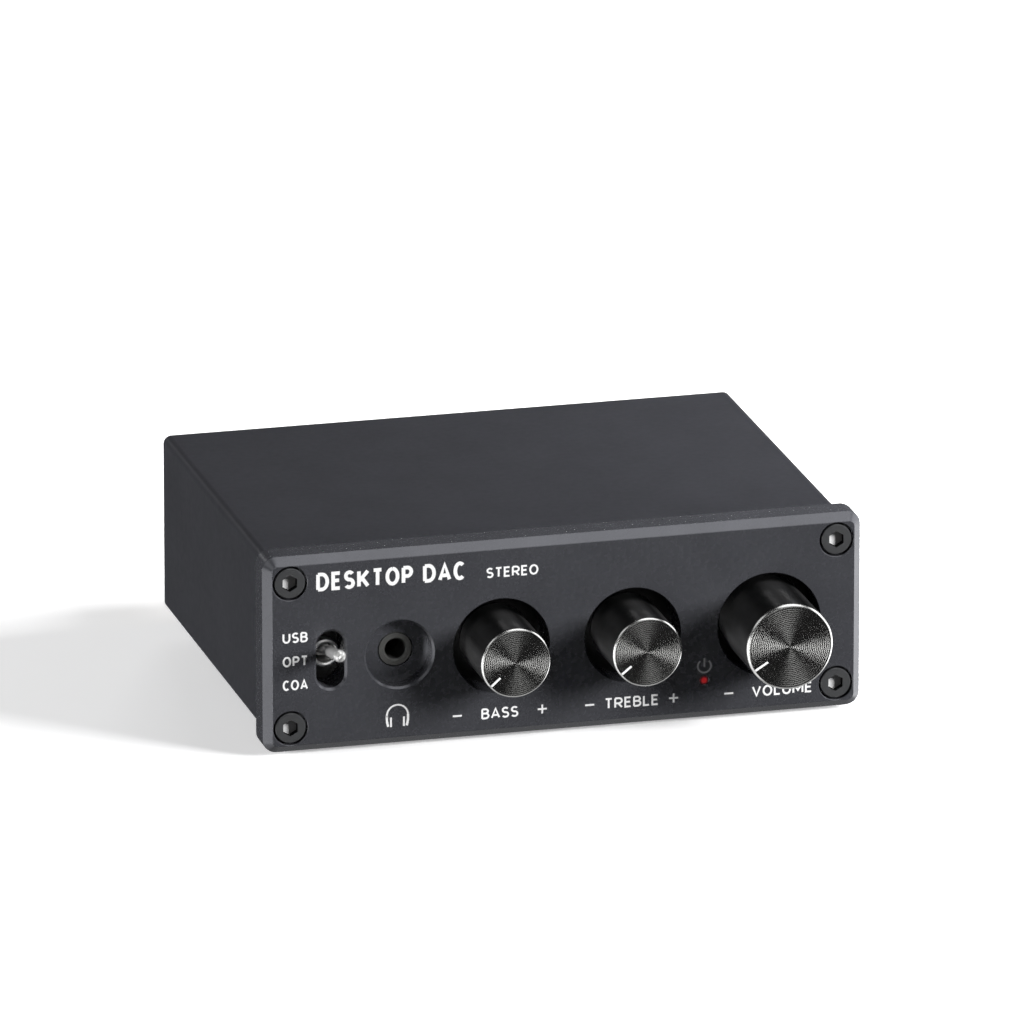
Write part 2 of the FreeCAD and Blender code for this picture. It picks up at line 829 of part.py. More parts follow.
def make_phono_socket(name, x):
    """Panel-mounted phono socket: shell with flange and nut, insulator and centre contact."""
    above = f"{MIDDLE} + dims.phono_above"
    nut_end = "-dims.rear_thick - dims.nut_thick"
    shell = [
        ("0", "-dims.phono_back"),
        ("dims.phono_radius", "-dims.phono_back"),
        ("dims.phono_radius", nut_end),
        ("dims.phono_flange", nut_end),
        ("dims.phono_flange", "-dims.rear_thick"),
        ("dims.phono_radius", "-dims.rear_thick"),
        ("dims.phono_radius", "0"),
        ("dims.phono_flange", "0"),
        ("dims.phono_flange", "dims.flange_thick - dims.rim_bevel"),
        ("dims.phono_flange - dims.rim_bevel", "dims.flange_thick"),
        ("dims.phono_radius", "dims.flange_thick"),
        ("dims.phono_radius", "dims.socket_reach - dims.rim_bevel"),
        ("dims.phono_radius - dims.rim_bevel", "dims.socket_reach"),
        ("dims.phono_inner", "dims.socket_reach"),
        ("dims.phono_inner", "dims.phono_base - dims.phono_back"),
        ("0", "dims.phono_base - dims.phono_back"),
    ]
    node(f"{name}_shell", turned(shell, x, REAR, above))
    base = "dims.phono_base - dims.phono_back"
    end = "dims.socket_reach - dims.phono_recess"
    insulator = [
        ("dims.contact_radius", base),
        ("dims.phono_inner", base),
        ("dims.phono_inner", end),
        ("dims.contact_radius", end),
    ]
    node(f"{name}_insulator", turned(insulator, x, REAR, above))
    contact = [
        ("0", base),
        ("dims.contact_radius", base),
        ("dims.contact_radius", end),
        ("dims.contact_bore + dims.contact_bevel", end),
        ("dims.contact_bore", f"{end} - dims.contact_bevel"),
        ("dims.contact_bore", f"{base} + dims.phono_base"),
        ("0", f"{base} + dims.phono_base"),
    ]
    node(f"{name}_contact", turned(contact, x, REAR, above))


def make_optical_socket():
    """Moulded socket whose mouth is closed from inside by a sprung flap hinged at the top."""
    centre = f"{BOARD_TOP} + dims.optical_wide / 2"
    start = f"{REAR} + dims.flush_reach - dims.optical_deep"
    end = f"{REAR} + dims.flush_reach"
    cave_end = f"{end} - dims.optical_frame"
    half = "dims.optical_mouth / 2"
    block = box(
        "dims.optical_wide", "dims.optical_deep", "dims.optical_wide", "dims.optical_x", start, BOARD_TOP
    )
    mouth = box(
        "dims.optical_mouth", "dims.optical_frame + 2 * dims.spare", "dims.optical_mouth",
        "dims.optical_x", f"{cave_end} - dims.spare", f"{centre} - {half}",
    )
    cave = box(
        "dims.optical_cave_wide", "dims.optical_cave_deep", f"dims.optical_mouth + dims.optical_cave_top",
        "dims.optical_x", f"{cave_end} - dims.optical_cave_deep", f"{centre} - {half}",
    )
    hinge_y = f"{cave_end} - dims.flap_gap - dims.flap_barrel"
    hinge_z = f"{centre} + {half} + dims.flap_barrel + dims.flap_gap"
    pin_span = "dims.flap_wide + 2 * dims.flap_pin_long"
    bore_span = f"{pin_span} + 2 * dims.flap_gap"
    pin_bore = cross_rod("dims.flap_pin + dims.pin_play", bore_span, hinge_y, hinge_z)
    receiver_hole = rod(
        "dims.receiver_radius", "dims.receiver_long + dims.spare", "dims.optical_x",
        f"{cave_end} - dims.optical_cave_deep - dims.receiver_long", centre,
    )
    node("optical_body", cut(block, mouth, cave, pin_bore, receiver_hole))
    receiver = rod(
        "dims.receiver_radius", "dims.receiver_long", "dims.optical_x",
        f"{cave_end} - dims.optical_cave_deep - dims.receiver_long", centre,
    )
    node("optical_receiver", receiver)
    leaf_low = f"{centre} - {half} + dims.flap_gap"
    leaf = box(
        "dims.flap_wide", "dims.flap_thick", f"{hinge_z} - ({leaf_low})", "dims.optical_x",
        f"{cave_end} - dims.flap_gap - dims.flap_thick", leaf_low,
    )
    barrel = cross_rod("dims.flap_barrel", "dims.flap_wide", hinge_y, hinge_z)
    pin = cross_rod("dims.flap_pin", pin_span, hinge_y, hinge_z)
    node("optical_shutter", fuse(leaf, barrel, pin))


def cross_rod(radius, length, y, z):
    """Cylinder along X, centred on the optical socket."""
    thing = doc.addObject("Part::Cylinder", "cross_rod")
    thing.Placement = FreeCAD.Placement(Vector(), FreeCAD.Rotation(Vector(0, 1, 0), 90))
    bind(thing, Radius=radius, Height=length)
    move(thing, f"dims.optical_x - ({length}) / 2", y, z)
    return thing


def make_usb_socket():
    """Metal shell around a moulded housing with a contact tongue."""
    start = f"{REAR} - dims.usb_deep"
    long = "dims.usb_deep + dims.usb_reach"
    outside = box("dims.usb_wide", long, "dims.usb_high", "dims.usb_x", start, BOARD_TOP)
    inner_wide = "dims.usb_wide - 2 * dims.usb_wall"
    inner_high = "dims.usb_high - 2 * dims.usb_wall"
    inside = box(
        inner_wide, f"{long} + 2 * dims.spare", inner_high, "dims.usb_x", f"{start} - dims.spare",
        f"{BOARD_TOP} + dims.usb_wall",
    )
    node("usb_shell", cut(outside, inside))
    fill = box(
        inner_wide, f"{long} - dims.usb_sink", inner_high, "dims.usb_x", start,
        f"{BOARD_TOP} + dims.usb_wall",
    )
    half_high = "dims.usb_mouth_high / 2"
    section = housing("dims.usb_mouth_wide", f"-{half_high}", half_high, "dims.usb_mouth_corner")
    mouth = extruded(
        section, "dims.usb_mouth_deep + dims.spare", "dims.usb_x",
        f"{REAR} + dims.usb_reach - dims.usb_mouth_deep", f"{BOARD_TOP} + dims.usb_high / 2",
    )
    tongue = box(
        "dims.tongue_wide", "dims.tongue_long", "dims.tongue_high", "dims.usb_x",
        f"{REAR} + dims.usb_reach - dims.usb_mouth_deep",
        f"{BOARD_TOP} + dims.usb_high / 2 - dims.tongue_high / 2",
    )
    node("usb_housing", fuse(cut(fill, mouth), tongue))


def make_power_socket():
    """Barrel socket with a centre pin."""
    start = f"{REAR} + dims.flush_reach - dims.power_deep"
    above = f"{BOARD_TOP} + dims.power_rise"
    block = box("dims.power_wide", "dims.power_deep", "dims.power_high", "dims.power_x", start, BOARD_TOP)
    floor = f"{REAR} + dims.flush_reach - dims.power_bore_deep"
    hole = rod("dims.power_bore", "dims.power_bore_deep + dims.spare", "dims.power_x", floor, above)
    node("power_housing", cut(block, hole))
    pin = [
        ("0", "0"),
        ("dims.power_pin", "0"),
        ("dims.power_pin", "dims.power_pin_long - dims.power_pin / 2"),
        ("dims.power_pin / 2", "dims.power_pin_long"),
        ("0", "dims.power_pin_long"),
    ]
    node("power_pin", turned(pin, "dims.power_x", floor, above))


def make_board_parts():
    for name, x in (("dac_chip", "dims.dac_chip_x"), ("usb_chip", "dims.usb_chip_x")):
        chip = box(
            "dims.chip_wide", "dims.chip_wide", "dims.chip_high", x, behind("dims.chip_behind"), BOARD_TOP
        )
        node(name, chip)
    can = [
        ("0", "0"),
        ("dims.supply_radius", "0"),
        ("dims.supply_radius", "dims.supply_high - dims.supply_bevel"),
        ("dims.supply_radius - dims.supply_bevel", "dims.supply_high"),
        ("0", "dims.supply_high"),
    ]
    for number in (1, 2):
        place = behind(f"dims.supply_behind + {number - 1} * dims.supply_pitch")
        node(f"supply_cap_{number}", turned(can, "dims.supply_x", place, BOARD_TOP, upright=True))


# ---------------------------------------------------------------------------------------------
# build, check and export
# ---------------------------------------------------------------------------------------------

def build():
    fill_sheet()
    make_front_plate()
    make_case_sleeve()
    make_rear_plate()
    make_front_screws()
    make_rear_screws()
    make_feet()
    make_front_liner()
    make_main_board()
    small = ("dims.small_radius", "dims.small_reach", "dims.small_rim", "dims.small_mark")
    large = ("dims.volume_radius", "dims.volume_reach", "dims.volume_rim", "dims.volume_mark")
    make_control("bass", "dims.bass_x", *small, "dims.pot_wide", "dims.pot_deep")
    make_control("treble", "dims.treble_x", *small, "dims.pot_wide", "dims.pot_deep")
    make_control("volume", "dims.volume_x", *large, "dims.volume_pot_wide", "dims.volume_pot_deep")
    make_volume_switch()
    make_source_switch()
    make_headphone_socket()
    make_pilot_light()
    make_phono_socket("line_left", "dims.line_left_x")
    make_phono_socket("line_right", "dims.line_right_x")
    make_phono_socket("coax_input", "dims.coax_x")
    make_optical_socket()
    make_usb_socket()
    make_power_socket()
    make_board_parts()
    doc.recompute()


def check():
    """Stop before anything is written if an object failed or a sub-part isn't one valid solid."""
    for thing in doc.Objects:
        if "Invalid" in thing.State or "Error" in thing.State:
            raise RuntimeError(f"{thing.Name} ({thing.Label}) failed: {thing.State}")
    for thing in nodes:
        shape = thing.Shape
        if shape.isNull() or not shape.isValid() or len(shape.Solids) != 1:
            raise RuntimeError(f"{thing.Label} is not one valid solid")


def export():
    os.makedirs("parts", exist_ok=True)
    for thing in nodes:
        thing.Shape.exportStep(f"parts/{thing.Label}.step")


build()
check()
export()
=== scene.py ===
import math

import bmesh
import bpy
from mathutils import Matrix, Vector


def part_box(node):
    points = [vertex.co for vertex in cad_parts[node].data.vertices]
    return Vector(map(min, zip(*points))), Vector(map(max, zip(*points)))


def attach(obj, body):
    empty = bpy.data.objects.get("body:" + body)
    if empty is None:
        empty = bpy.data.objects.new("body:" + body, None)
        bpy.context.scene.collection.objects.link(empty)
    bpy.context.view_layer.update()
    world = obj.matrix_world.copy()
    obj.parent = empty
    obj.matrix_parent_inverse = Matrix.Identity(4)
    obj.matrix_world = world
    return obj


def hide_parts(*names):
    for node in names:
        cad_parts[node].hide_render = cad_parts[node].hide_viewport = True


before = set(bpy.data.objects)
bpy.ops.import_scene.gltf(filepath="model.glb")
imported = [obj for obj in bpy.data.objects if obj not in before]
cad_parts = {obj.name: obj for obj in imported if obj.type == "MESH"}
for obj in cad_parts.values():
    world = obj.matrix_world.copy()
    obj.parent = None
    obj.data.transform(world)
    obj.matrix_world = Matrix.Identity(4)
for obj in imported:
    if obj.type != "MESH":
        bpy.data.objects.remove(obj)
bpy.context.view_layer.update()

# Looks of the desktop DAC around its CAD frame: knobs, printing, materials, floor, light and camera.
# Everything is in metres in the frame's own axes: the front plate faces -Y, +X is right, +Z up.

MM = 0.001


def centre_of(node):
    low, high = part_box(node)
    return (low + high) / 2


PLATE_LOW, PLATE_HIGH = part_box("front_plate")
FACE = PLATE_LOW.y
MIDDLE = (PLATE_LOW.z + PLATE_HIGH.z) / 2
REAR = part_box("rear_plate")[1].y


# ---------------------------------------------------------------------------------------------
# shader helpers
# ---------------------------------------------------------------------------------------------

class Shader:
    """A material with one Principled shader, and short ways to add nodes to it."""

    def __init__(self, name, color, roughness, metallic=0.0, **sockets):
        self.material = bpy.data.materials.new(name)
        self.material.use_nodes = True
        self.tree = self.material.node_tree
        self.shader = self.tree.nodes["Principled BSDF"]
        self.shader.inputs["Base Color"].default_value = (*color, 1)
        self.shader.inputs["Roughness"].default_value = roughness
        self.shader.inputs["Metallic"].default_value = metallic
        for socket, value in sockets.items():
            self.shader.inputs[socket.replace("_", " ")].default_value = value
        self.place = self.tree.nodes.new("ShaderNodeTexCoord").outputs["Object"]

    def node(self, kind, **values):
        made = self.tree.nodes.new(kind)
        for name, value in values.items():
            setattr(made, name, value)
        return made

    def link(self, source, target):
        self.tree.links.new(source, target)

    def noise(self, size, detail=2.0, stretch=(1, 1, 1)):
        """Noise whose grains measure about size, stretched along the axes."""
        mapping = self.node("ShaderNodeMapping")
        mapping.inputs["Scale"].default_value = stretch
        self.link(self.place, mapping.inputs["Vector"])
        noise = self.node("ShaderNodeTexNoise")
        noise.inputs["Scale"].default_value = 1 / size
        noise.inputs["Detail"].default_value = detail
        self.link(mapping.outputs["Vector"], noise.inputs["Vector"])
        return noise.outputs["Fac"]

    def spread(self, factor, low, high):
        """Noise factor turned into a range of numbers."""
        ranged = self.node("ShaderNodeMapRange")
        ranged.inputs["From Min"].default_value = 0.3
        ranged.inputs["From Max"].default_value = 0.7
        ranged.inputs["To Min"].default_value = low
        ranged.inputs["To Max"].default_value = high
        self.link(factor, ranged.inputs["Value"])
        return ranged.outputs["Result"]

    def vary_roughness(self, factor, low, high):
        self.link(self.spread(factor, low, high), self.shader.inputs["Roughness"])

    def vary_color(self, factor, low, high):
        """Base colour that wanders between two colours."""
        mix = self.node("ShaderNodeMix", data_type="RGBA")
        mix.inputs["A"].default_value = (*low, 1)
        mix.inputs["B"].default_value = (*high, 1)
        self.link(self.spread(factor, 0, 1), mix.inputs["Factor"])
        self.link(mix.outputs["Result"], self.shader.inputs["Base Color"])

    def bump(self, height, depth, strength):
        """Fine relief of a depth, followed to a strength between 0 and 1."""
        bump = self.node("ShaderNodeBump")
        bump.inputs["Distance"].default_value = depth
        bump.inputs["Strength"].default_value = strength
        self.link(height, bump.inputs["Height"])
        self.link(bump.outputs["Normal"], self.shader.inputs["Normal"])


def shade(color, factor):
    return tuple(channel * factor for channel in color)


def anodised(name, color, roughness):
    """Bead-blasted and anodised aluminium: fine grain with a faint mottle in colour and sheen."""
    made = Shader(name, color, roughness, metallic=0.5, Specular_IOR_Level=0.9)
    mottle = made.noise(9 * MM, detail=3)
    made.vary_color(mottle, shade(color, 0.94), shade(color, 1.06))
    made.vary_roughness(made.noise(1.2 * MM, detail=4), roughness - 0.02, roughness + 0.02)
    made.bump(made.noise(0.22 * MM, detail=2), 0.0025 * MM, 0.4)
    return made.material


def turned_face():
    """Fine-turned black face: the highlight spreads across the grooves into opposite fans."""
    made = Shader("knob_face", (0.42, 0.42, 0.41), 0.24, metallic=1.0, Anisotropic=0.85)
    made.shader.inputs["Anisotropic Rotation"].default_value = 0.25
    tangent = made.node("ShaderNodeTangent", direction_type="RADIAL", axis="Y")
    made.link(tangent.outputs["Tangent"], made.shader.inputs["Tangent"])
    made.vary_color(made.noise(2 * MM), (0.38, 0.38, 0.37), (0.46, 0.46, 0.45))
    return made.material


def turned_side():
    """Gloss black anodising over turning lines, which stretch each highlight along the axis."""
    made = Shader("knob_side", (0.06, 0.06, 0.061), 0.4, metallic=1.0, Anisotropic=1.0)
    made.shader.inputs["Anisotropic Rotation"].default_value = 0.25
    tangent = made.node("ShaderNodeTangent", direction_type="RADIAL", axis="Y")
    made.link(tangent.outputs["Tangent"], made.shader.inputs["Tangent"])
    lines = made.noise(0.35 * MM, detail=1, stretch=(0.02, 1, 0.02))
    made.vary_roughness(lines, 0.37, 0.43)
    made.vary_color(made.noise(3 * MM), (0.055, 0.055, 0.056), (0.065, 0.065, 0.066))
    return made.material


def bright_cut():
    """Bare aluminium of the diamond-cut rims."""
    made = Shader("bright_cut", (0.86, 0.86, 0.85), 0.2, metallic=1.0)
    lines = made.noise(0.1 * MM, detail=1, stretch=(1, 0.2, 1))
    made.vary_roughness(lines, 0.16, 0.26)
    made.vary_color(made.noise(1 * MM), (0.82, 0.82, 0.81), (0.9, 0.9, 0.89))
    return made.material


def metal(name, color, roughness):
    """Plated metal with a slightly uneven polish."""
    made = Shader(name, color, roughness, metallic=1.0)
    made.vary_roughness(made.noise(0.6 * MM, detail=3), roughness * 0.8, roughness * 1.25)
    made.vary_color(made.noise(2 * MM), shade(color, 0.94), shade(color, 1.04))
    made.bump(made.noise(0.3 * MM), 0.002 * MM, 0.4)
    return made.material


def satin(name, color, roughness, metallic):
    """Tumbled metal that also scatters some light evenly."""
    made = Shader(name, color, roughness, metallic=metallic)
    made.vary_roughness(made.noise(0.8 * MM, detail=1), roughness - 0.02, roughness + 0.02)
    made.vary_color(made.noise(1.5 * MM), shade(color, 0.95), color)
    return made.material


def moulded(name, color, roughness, grain=0.25, **sockets):
    """Moulded plastic or rubber with a fine eroded texture."""
    made = Shader(name, color, roughness, **sockets)
    made.vary_roughness(made.noise(1.5 * MM, detail=3), roughness - 0.05, roughness + 0.05)
    made.vary_color(made.noise(4 * MM), shade(color, 0.88), shade(color, 1.12))
    made.bump(made.noise(grain * MM), 0.01 * MM, 0.6)
    return made.material


def ink_painted_glow(name, color):
    """Screen-printed, a little uneven; a weak emission is a painted glow that lifts the print out of
    shade.
    """
    # Painted glow: the print gives no light; this emission stands in for light on print that lies in
    # shade.
    made = Shader(name, color, 0.5, Emission_Strength=0.12)
    made.shader.inputs["Emission Color"].default_value = (*color, 1)
    made.vary_color(made.noise(0.5 * MM, detail=3), shade(color, 0.95), color)
    made.bump(made.noise(0.15 * MM), 0.003 * MM, 0.5)
    return made.material


def glowing(name, color, edge_color, strength, node):
    """Clear plastic lit from behind, brightest in the middle of its face."""
    made = Shader(name, color, 0.35, Emission_Strength=strength)
    middle = centre_of(node)
    mapping = made.node("ShaderNodeMapping")
    mapping.inputs["Location"].default_value = (-middle.x, 0, -middle.z)
    mapping.inputs["Scale"].default_value = (1, 0, 1)
    made.link(made.place, mapping.inputs["Vector"])
    reach = made.node("ShaderNodeVectorMath", operation="LENGTH")
    made.link(mapping.outputs["Vector"], reach.inputs[0])
    fade = made.node("ShaderNodeMapRange", interpolation_type="SMOOTHSTEP")
    fade.inputs["From Min"].default_value = 0.3 * MM
    fade.inputs["From Max"].default_value = 0.66 * MM
    made.link(reach.outputs["Value"], fade.inputs["Value"])
    mix = made.node("ShaderNodeMix", data_type="RGBA")
    mix.inputs["A"].default_value = (*color, 1)
    mix.inputs["B"].default_value = (*edge_color, 1)
    made.link(fade.outputs["Result"], mix.inputs["Factor"])
    made.link(mix.outputs["Result"], made.shader.inputs["Base Color"])
    made.link(mix.outputs["Result"], made.shader.inputs["Emission Color"])
    return made.material


def circuit_board():
    made = Shader("board", (0.01, 0.06, 0.025), 0.4)
    tracks = made.noise(1.4 * MM, detail=0, stretch=(1, 0.25, 1))
    made.vary_color(tracks, (0.008, 0.045, 0.02), (0.02, 0.1, 0.04))
    made.bump(tracks, 0.03 * MM, 0.5)
    return made.material


# ---------------------------------------------------------------------------------------------
# mesh helpers
# ---------------------------------------------------------------------------------------------

def piece(name, mesh, body, *materials, slot=None):
    """Object of the model that rides on a body; its slot argument is not used."""
    made = bpy.data.objects.new(name, mesh)
    bpy.context.scene.collection.objects.link(made)
    for material in materials:
        made.data.materials.append(material)
    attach(made, body)
    return made


def mesh_from(shape, name, sharp=30):
    """Mesh from a bmesh, smooth apart from edges sharper than an angle."""
    bmesh.ops.recalc_face_normals(shape, faces=shape.faces)
    mesh = bpy.data.meshes.new(name)
    shape.to_mesh(mesh)
    shape.free()
    mesh.shade_smooth()
    mesh.set_sharp_from_angle(angle=math.radians(sharp))
    return mesh


def lathe(profile, x, z, segments=144):
    """Closed turned shape from (radius, y) pairs, about an axis along Y through x and z."""
    shape = bmesh.new()
    rings = []
    for radius, y in profile:
        if radius < 1e-9:
            rings.append([shape.verts.new((x, y, z))])
            continue
        angles = [2 * math.pi * step / segments for step in range(segments)]
        rings.append([
            shape.verts.new((x + radius * math.cos(a), y, z + radius * math.sin(a))) for a in angles
        ])
    for inner, outer in zip(rings, rings[1:]):
        if len(inner) == len(outer) == 1:
            continue
        for step in range(segments):
            after = (step + 1) % segments
            corners = [inner[step % len(inner)], outer[step % len(outer)]]
            if len(outer) > 1:
                corners.append(outer[after])
            if len(inner) > 1:
                corners.append(inner[after])
            shape.faces.new(corners)
    return shape


def bar(low, high, turn=None):
    """Box between two corners as a bmesh, optionally turned by a matrix."""
    shape = bmesh.new()
    size = Vector(high) - Vector(low)
    middle = (Vector(high) + Vector(low)) / 2
    matrix = Matrix.Translation(middle) @ Matrix.Diagonal((*size, 1))
    bmesh.ops.create_cube(shape, size=1, matrix=matrix)
    if turn is not None:
        bmesh.ops.transform(shape, matrix=turn, verts=shape.verts)
    return shape


def turn_about(middle, angle):
    """Matrix that turns by an angle in radians about the line along Y through a point."""
    return (
        Matrix.Translation((middle.x, 0, middle.z))
        @ Matrix.Rotation(angle, 4, "Y")
        @ Matrix.Translation((-middle.x, 0, -middle.z))
    )


def carve(made, cutter):
    """Cut a bmesh out of an object's mesh."""
    tool_mesh = bpy.data.meshes.new("tool")
    cutter.to_mesh(tool_mesh)
    cutter.free()
    tool = bpy.data.objects.new("tool", tool_mesh)
    bpy.context.scene.collection.objects.link(tool)
    cut = made.modifiers.new("cut", "BOOLEAN")
    cut.operation = "DIFFERENCE"
    cut.solver = "EXACT"
    cut.object = tool
    bpy.context.view_layer.update()
    result = bpy.data.meshes.new_from_object(made.evaluated_get(bpy.context.evaluated_depsgraph_get()))
    made.modifiers.clear()
    made.data = result
    bpy.data.objects.remove(tool)


# ---------------------------------------------------------------------------------------------
# materials
# ---------------------------------------------------------------------------------------------

PLATE = anodised("plate_anodised", (0.082, 0.084, 0.095), 0.27)
CASE = anodised("case_anodised", (0.051, 0.052, 0.060), 0.38)
KNOB_FACE = turned_face()
KNOB_SIDE = turned_side()
BRIGHT = bright_cut()
BLACK_STEEL = anodised("black_steel", (0.085, 0.087, 0.09), 0.3)
SOCKET_STEEL = moulded("socket_steel", (0.7, 0.7, 0.7), 0.6, Specular_IOR_Level=0.0)
# Painted shade: near-black walls that stand for the shade inside the screws' hex sockets.
SOCKET_PAINTED_SHADE = moulded("socket_painted_shade", (0.01, 0.01, 0.01), 0.7, Specular_IOR_Level=0.05)
DARK_NICKEL = satin("dark_nickel", (0.12, 0.12, 0.116), 0.3, metallic=0.5)
NICKEL = satin("nickel", (0.84, 0.84, 0.83), 0.32, metallic=0.72)
CHROME = metal("chrome", (0.82, 0.82, 0.82), 0.2)
STEEL = metal("plated_steel", (0.55, 0.55, 0.54), 0.32)
GOLD = metal("gold_plate", (0.86, 0.62, 0.25), 0.2)
BLACK_PLASTIC = moulded("black_plastic", (0.018, 0.018, 0.019), 0.42)
LINER = moulded("liner_film", (0.006, 0.006, 0.006), 0.7)
RUBBER = moulded("rubber", (0.02, 0.02, 0.02), 0.75, grain=0.4)
WHITE_PLASTIC = moulded("white_plastic", (0.82, 0.82, 0.8), 0.35)
RED_PLASTIC = moulded("red_plastic", (0.62, 0.02, 0.02), 0.35)
# The printing below carries the painted glow, which lifts letters out of the knobs' and lever's shade.
WHITE_INK = ink_painted_glow("white_ink", (0.8, 0.8, 0.8))
GREY_INK = ink_painted_glow("grey_ink", (0.36, 0.36, 0.37))
MARK_INK = ink_painted_glow("mark_ink", (0.9, 0.9, 0.9))
PILOT_RED = glowing("pilot_red", (0.34, 0.012, 0.014), (0.04, 0.003, 0.004), 0.7, "led_lens")
LAMP_RED = moulded("lamp_red", (0.4, 0.02, 0.02), 0.3)
BOARD = circuit_board()


def dress_cad_nodes():
    """Give every node that shows as it is in the CAD its material."""
    corners = (1, 2, 3, 4)
    sockets = ("line_left", "line_right", "coax_input")
    controls = ("bass", "treble", "volume")
    finishes = {
        PLATE: ["front_plate"],
        CASE: ["case_sleeve", "rear_plate"],
        BLACK_STEEL: [f"rear_screw_{n}" for n in corners],
        DARK_NICKEL: ["headphone_ferrule"],
        NICKEL: ["toggle_lever"],
        RUBBER: [f"foot_{n}" for n in corners],
        LINER: ["front_liner"],
        BOARD: ["main_board"],
        STEEL: [f"{name}_pot_body" for name in controls]
        + ["volume_switch", "supply_cap_1", "supply_cap_2"],
        CHROME: [f"{name}_{part}" for name in controls for part in ("shaft", "bush")]
        + ["usb_shell", "power_pin"],
        GOLD: [f"{name}_{part}" for name in sockets for part in ("shell", "contact")],
        WHITE_PLASTIC: ["line_left_insulator"],
        RED_PLASTIC: ["line_right_insulator"],
        BLACK_PLASTIC: [f"{name}_knob_insert" for name in controls]
        + ["toggle_body", "headphone_jack", "optical_body", "optical_shutter", "usb_housing"]
        + ["power_housing", "dac_chip", "usb_chip", "coax_input_insulator"],
        PILOT_RED: ["led_lens"],
        LAMP_RED: ["power_led", "optical_receiver"],
    }
    for material, nodes in finishes.items():
        for name in nodes:
            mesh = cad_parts[name].data
            mesh.materials.clear()
            mesh.materials.append(material)


# ---------------------------------------------------------------------------------------------
# knobs
# ---------------------------------------------------------------------------------------------

GROOVE_PITCH = 0.33 * MM
MARK_WIDE = 0.44 * MM
MARK_DEEP = 0.16 * MM
MARK_GAP = 0.03 * MM
MARK_SUNK = 0.01 * MM
STEPS_PER_GROOVE = 6
LAND_WIDE = 0.12 * MM
REAR_CHAMFER = 0.25 * MM
FACE_FINISH = 1
RIM_FINISH = 2


def knob_profile(radius, face, end, rim, groove, bore, bore_deep):
    """Face with concentric grooves, bright rim, side and the bore for the insert."""
    rings = int((radius - rim - LAND_WIDE) / GROOVE_PITCH)
    points = [(0.0, face)]
    for number in range(1, rings * STEPS_PER_GROOVE + 1):
        wave = (1 - math.cos(2 * math.pi * number / STEPS_PER_GROOVE)) / 2
        points.append((number * GROOVE_PITCH / STEPS_PER_GROOVE, face + groove * wave))
    soft = 0.05 * MM
    points += [
        (radius - rim - soft, face),
        (radius - rim, face + soft * 0.3),
        (radius - soft * 0.3, face + rim),
        (radius, face + rim + soft),
        (radius, end - REAR_CHAMFER),
        (radius - REAR_CHAMFER, end),
        (bore, end),
        (bore, end - bore_deep),
        (0.0, end - bore_deep),
    ]
    return points


def make_knob(name, rim, groove, mark, angle):
    """Knob with a bright rim, grooves of a depth and a white mark let into its face."""
    low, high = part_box(f"{name}_knob")
    radius = (high.x - low.x) / 2
    middle = centre_of(f"{name}_knob")
    core_low, core_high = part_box(f"{name}_knob_insert")
    bore = (core_high.x - core_low.x) / 2
    profile = knob_profile(radius, low.y, high.y, rim, groove, bore, high.y - core_low.y)
    mesh = mesh_from(lathe(profile, middle.x, middle.z), f"{name}_knob_turned", sharp=40)
    body = f"{name}_control"
    knob = piece(f"{name}_knob_turned", mesh, body, KNOB_SIDE, KNOB_FACE, BRIGHT, slot="knob")
    turn = turn_about(middle, math.radians(angle))
    inner = middle.z + radius - rim - mark
    outer = middle.z + radius - rim
    half = MARK_WIDE / 2
    carve(knob, bar(
        (middle.x - half, low.y - MM, inner), (middle.x + half, low.y + MARK_DEEP, outer), turn
    ))
    for polygon in knob.data.polygons:
        reach = Vector((polygon.center.x - middle.x, 0, polygon.center.z - middle.z)).length
        if polygon.center.y < low.y + MARK_DEEP and reach < radius - rim:
            polygon.material_index = FACE_FINISH
        elif polygon.center.y < low.y + rim and reach > radius - rim - 0.02 * MM:
            polygon.material_index = RIM_FINISH
    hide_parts(f"{name}_knob")
    inlay = bar(
        (middle.x - half + MARK_GAP, low.y + MARK_SUNK, inner + MARK_GAP),
        (middle.x + half - MARK_GAP, low.y + MARK_DEEP - MARK_SUNK, outer - MARK_GAP),
        turn,
    )
    bmesh.ops.bevel(inlay, geom=inlay.edges[:], offset=0.04 * MM, segments=2, affect="EDGES")
    mesh = mesh_from(inlay, f"{name}_knob_mark")
    piece(f"{name}_knob_mark", mesh, body, MARK_INK)


# ---------------------------------------------------------------------------------------------
# front screws
# ---------------------------------------------------------------------------------------------

KEY_RADIUS = 1.45 * MM
KEY_DEEP = 1.2 * MM
HEAD_GAP = 0.05 * MM
HEAD_LONG = 3 * MM
SHANK_RADIUS = 1.5 * MM
FLOOR_FINISH = 1
WALL_PAINTED_SHADE = 2


